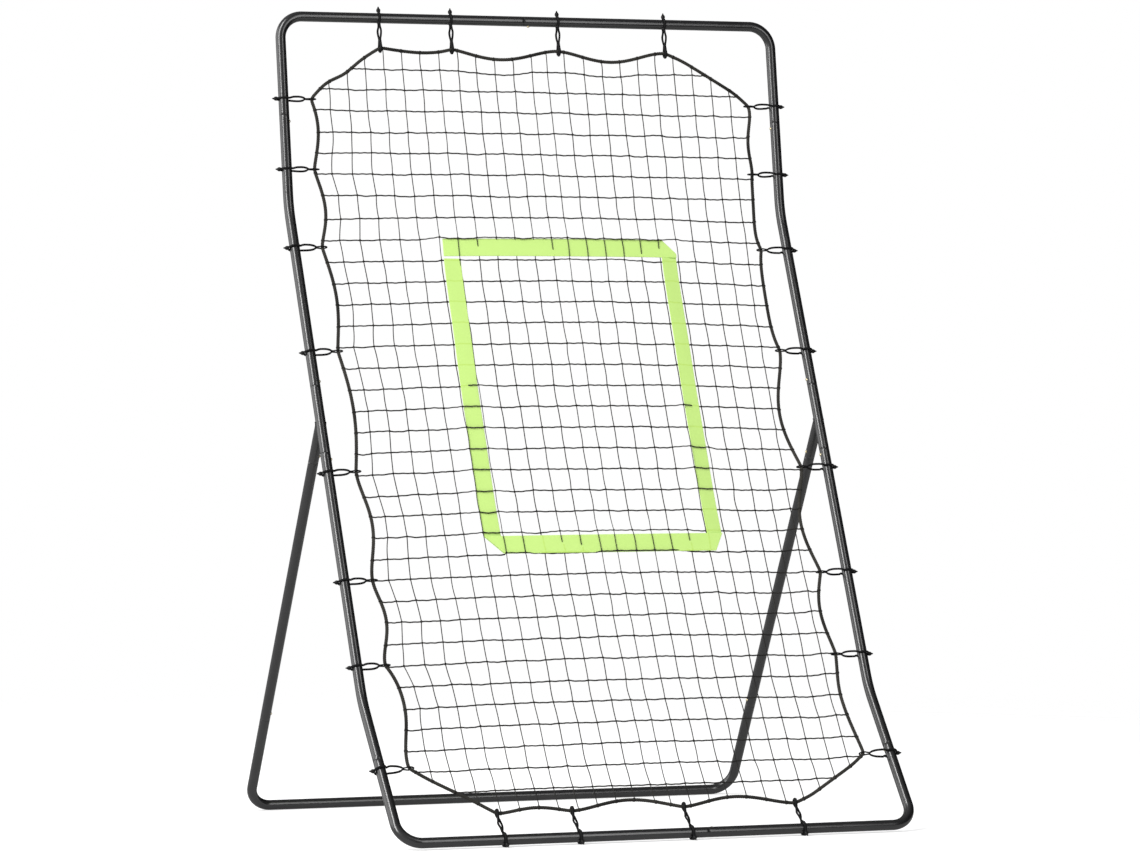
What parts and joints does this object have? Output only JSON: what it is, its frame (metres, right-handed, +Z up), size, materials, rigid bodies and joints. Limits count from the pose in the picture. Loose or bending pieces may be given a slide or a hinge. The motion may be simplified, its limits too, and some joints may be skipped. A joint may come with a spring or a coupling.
{
  "type": "baseball rebounder",
  "caption": "Free-standing ball return net: a bent tube frame on a rear U stand, with a net slung on elastic loops and a strap that marks the strike zone.",
  "frame": {"origin": "on the floor, in the middle of the footprint's box", "axes": "+X across the frame to the right as seen from the front, +Y from the net's face towards the rear stand, +Z up"},
  "size_m": [1.213, 1.0076, 1.7676],
  "materials": {
    "powder_coated_steel": "black powder coat, semi-gloss",
    "plated_snap_button": "pale yellow zinc plating on spring steel",
    "black_elastic_cord": "braided polyester over rubber, with a moulded bead",
    "charcoal_edge_rope": "twisted polyester rope",
    "charcoal_net_cord": "knotted polyethylene twine",
    "lime_webbing": "woven polyester webbing, matt"
  },
  "bodies": {
    "frame": {"left_top_corner_tube": "powder_coated_steel", "left_upper_side_tube": "powder_coated_steel", "left_branch_joint": "powder_coated_steel", "left_lower_side_tube": "powder_coated_steel", "left_bottom_corner_tube": "powder_coated_steel", "left_leg_tube": "powder_coated_steel", "right_top_corner_tube": "powder_coated_steel", "right_upper_side_tube": "powder_coated_steel", "right_branch_joint": "powder_coated_steel", "right_lower_side_tube": "powder_coated_steel", "right_bottom_corner_tube": "powder_coated_steel", "right_leg_tube": "powder_coated_steel", "rear_stand_tube": "powder_coated_steel", "elastic_loop_left_1": "black_elastic_cord", "elastic_loop_left_2": "black_elastic_cord", "elastic_loop_left_3": "black_elastic_cord", "elastic_loop_left_4": "black_elastic_cord", "elastic_loop_left_5": "black_elastic_cord", "elastic_loop_left_6": "black_elastic_cord", "elastic_loop_left_7": "black_elastic_cord", "elastic_loop_left_8": "black_elastic_cord", "elastic_loop_right_1": "black_elastic_cord", "elastic_loop_right_2": "black_elastic_cord", "elastic_loop_right_3": "black_elastic_cord", "elastic_loop_right_4": "black_elastic_cord", "elastic_loop_right_5": "black_elastic_cord", "elastic_loop_right_6": "black_elastic_cord", "elastic_loop_right_7": "black_elastic_cord", "elastic_loop_right_8": "black_elastic_cord", "elastic_loop_top_1": "black_elastic_cord", "elastic_loop_top_2": "black_elastic_cord", "elastic_loop_top_3": "black_elastic_cord", "elastic_loop_top_4": "black_elastic_cord", "elastic_loop_bottom_1": "black_elastic_cord", "elastic_loop_bottom_2": "black_elastic_cord", "elastic_loop_bottom_3": "black_elastic_cord", "elastic_loop_bottom_4": "black_elastic_cord", "edge_rope": "charcoal_edge_rope", "net_lower": "charcoal_net_cord", "net_middle": "charcoal_net_cord", "net_upper": "charcoal_net_cord", "strike_zone_strap": "lime_webbing"},
    "snap_button_upper_left": {"snap_button_upper_left": "plated_snap_button"},
    "snap_button_middle_left": {"snap_button_middle_left": "plated_snap_button"},
    "snap_button_lower_branch_left": {"snap_button_lower_branch_left": "plated_snap_button"},
    "snap_button_lower_left": {"snap_button_lower_left": "plated_snap_button"},
    "snap_button_leg_socket_left": {"snap_button_leg_socket_left": "plated_snap_button"},
    "snap_button_rear_leg_left": {"snap_button_rear_leg_left": "plated_snap_button"},
    "snap_button_upper_right": {"snap_button_upper_right": "plated_snap_button"},
    "snap_button_middle_right": {"snap_button_middle_right": "plated_snap_button"},
    "snap_button_lower_branch_right": {"snap_button_lower_branch_right": "plated_snap_button"},
    "snap_button_lower_right": {"snap_button_lower_right": "plated_snap_button"},
    "snap_button_leg_socket_right": {"snap_button_leg_socket_right": "plated_snap_button"},
    "snap_button_rear_leg_right": {"snap_button_rear_leg_right": "plated_snap_button"},
    "snap_button_top_bar": {"snap_button_top_bar": "plated_snap_button"},
    "snap_button_bottom_bar": {"snap_button_bottom_bar": "plated_snap_button"}
  },
  "joints": [
    {"name": "press_upper_left", "type": "slide", "parent": "frame", "child": "snap_button_upper_left", "axis": [-1, 0, 0], "range_m": [0, 0.0045], "stiffness_N_per_m": 800, "springref_m": -0.002},
    {"name": "press_middle_left", "type": "slide", "parent": "frame", "child": "snap_button_middle_left", "axis": [-1, 0, 0], "range_m": [0, 0.0045], "stiffness_N_per_m": 800, "springref_m": -0.002},
    {"name": "press_lower_branch_left", "type": "slide", "parent": "frame", "child": "snap_button_lower_branch_left", "axis": [-1, 0, 0], "range_m": [0, 0.0045], "stiffness_N_per_m": 800, "springref_m": -0.002},
    {"name": "press_lower_left", "type": "slide", "parent": "frame", "child": "snap_button_lower_left", "axis": [-1, 0, 0], "range_m": [0, 0.0045], "stiffness_N_per_m": 800, "springref_m": -0.002},
    {"name": "press_leg_socket_left", "type": "slide", "parent": "frame", "child": "snap_button_leg_socket_left", "axis": [-1, 0, 0], "range_m": [0, 0.0045], "stiffness_N_per_m": 800, "springref_m": -0.002},
    {"name": "press_rear_leg_left", "type": "slide", "parent": "frame", "child": "snap_button_rear_leg_left", "axis": [-1, 0, 0], "range_m": [0, 0.0045], "stiffness_N_per_m": 800, "springref_m": -0.002},
    {"name": "press_upper_right", "type": "slide", "parent": "frame", "child": "snap_button_upper_right", "axis": [1, 0, 0], "range_m": [0, 0.0045], "stiffness_N_per_m": 800, "springref_m": -0.002},
    {"name": "press_middle_right", "type": "slide", "parent": "frame", "child": "snap_button_middle_right", "axis": [1, 0, 0], "range_m": [0, 0.0045], "stiffness_N_per_m": 800, "springref_m": -0.002},
    {"name": "press_lower_branch_right", "type": "slide", "parent": "frame", "child": "snap_button_lower_branch_right", "axis": [1, 0, 0], "range_m": [0, 0.0045], "stiffness_N_per_m": 800, "springref_m": -0.002},
    {"name": "press_lower_right", "type": "slide", "parent": "frame", "child": "snap_button_lower_right", "axis": [1, 0, 0], "range_m": [0, 0.0045], "stiffness_N_per_m": 800, "springref_m": -0.002},
    {"name": "press_leg_socket_right", "type": "slide", "parent": "frame", "child": "snap_button_leg_socket_right", "axis": [1, 0, 0], "range_m": [0, 0.0045], "stiffness_N_per_m": 800, "springref_m": -0.002},
    {"name": "press_rear_leg_right", "type": "slide", "parent": "frame", "child": "snap_button_rear_leg_right", "axis": [1, 0, 0], "range_m": [0, 0.0045], "stiffness_N_per_m": 800, "springref_m": -0.002},
    {"name": "press_top_bar", "type": "slide", "parent": "frame", "child": "snap_button_top_bar", "axis": [0, 0.1435, 0.9897], "range_m": [0, 0.0045], "stiffness_N_per_m": 800, "springref_m": -0.002},
    {"name": "press_bottom_bar", "type": "slide", "parent": "frame", "child": "snap_button_bottom_bar", "axis": [0, -0.6394, -0.7688], "range_m": [0, 0.0045], "stiffness_N_per_m": 800, "springref_m": -0.002}
  ]
}
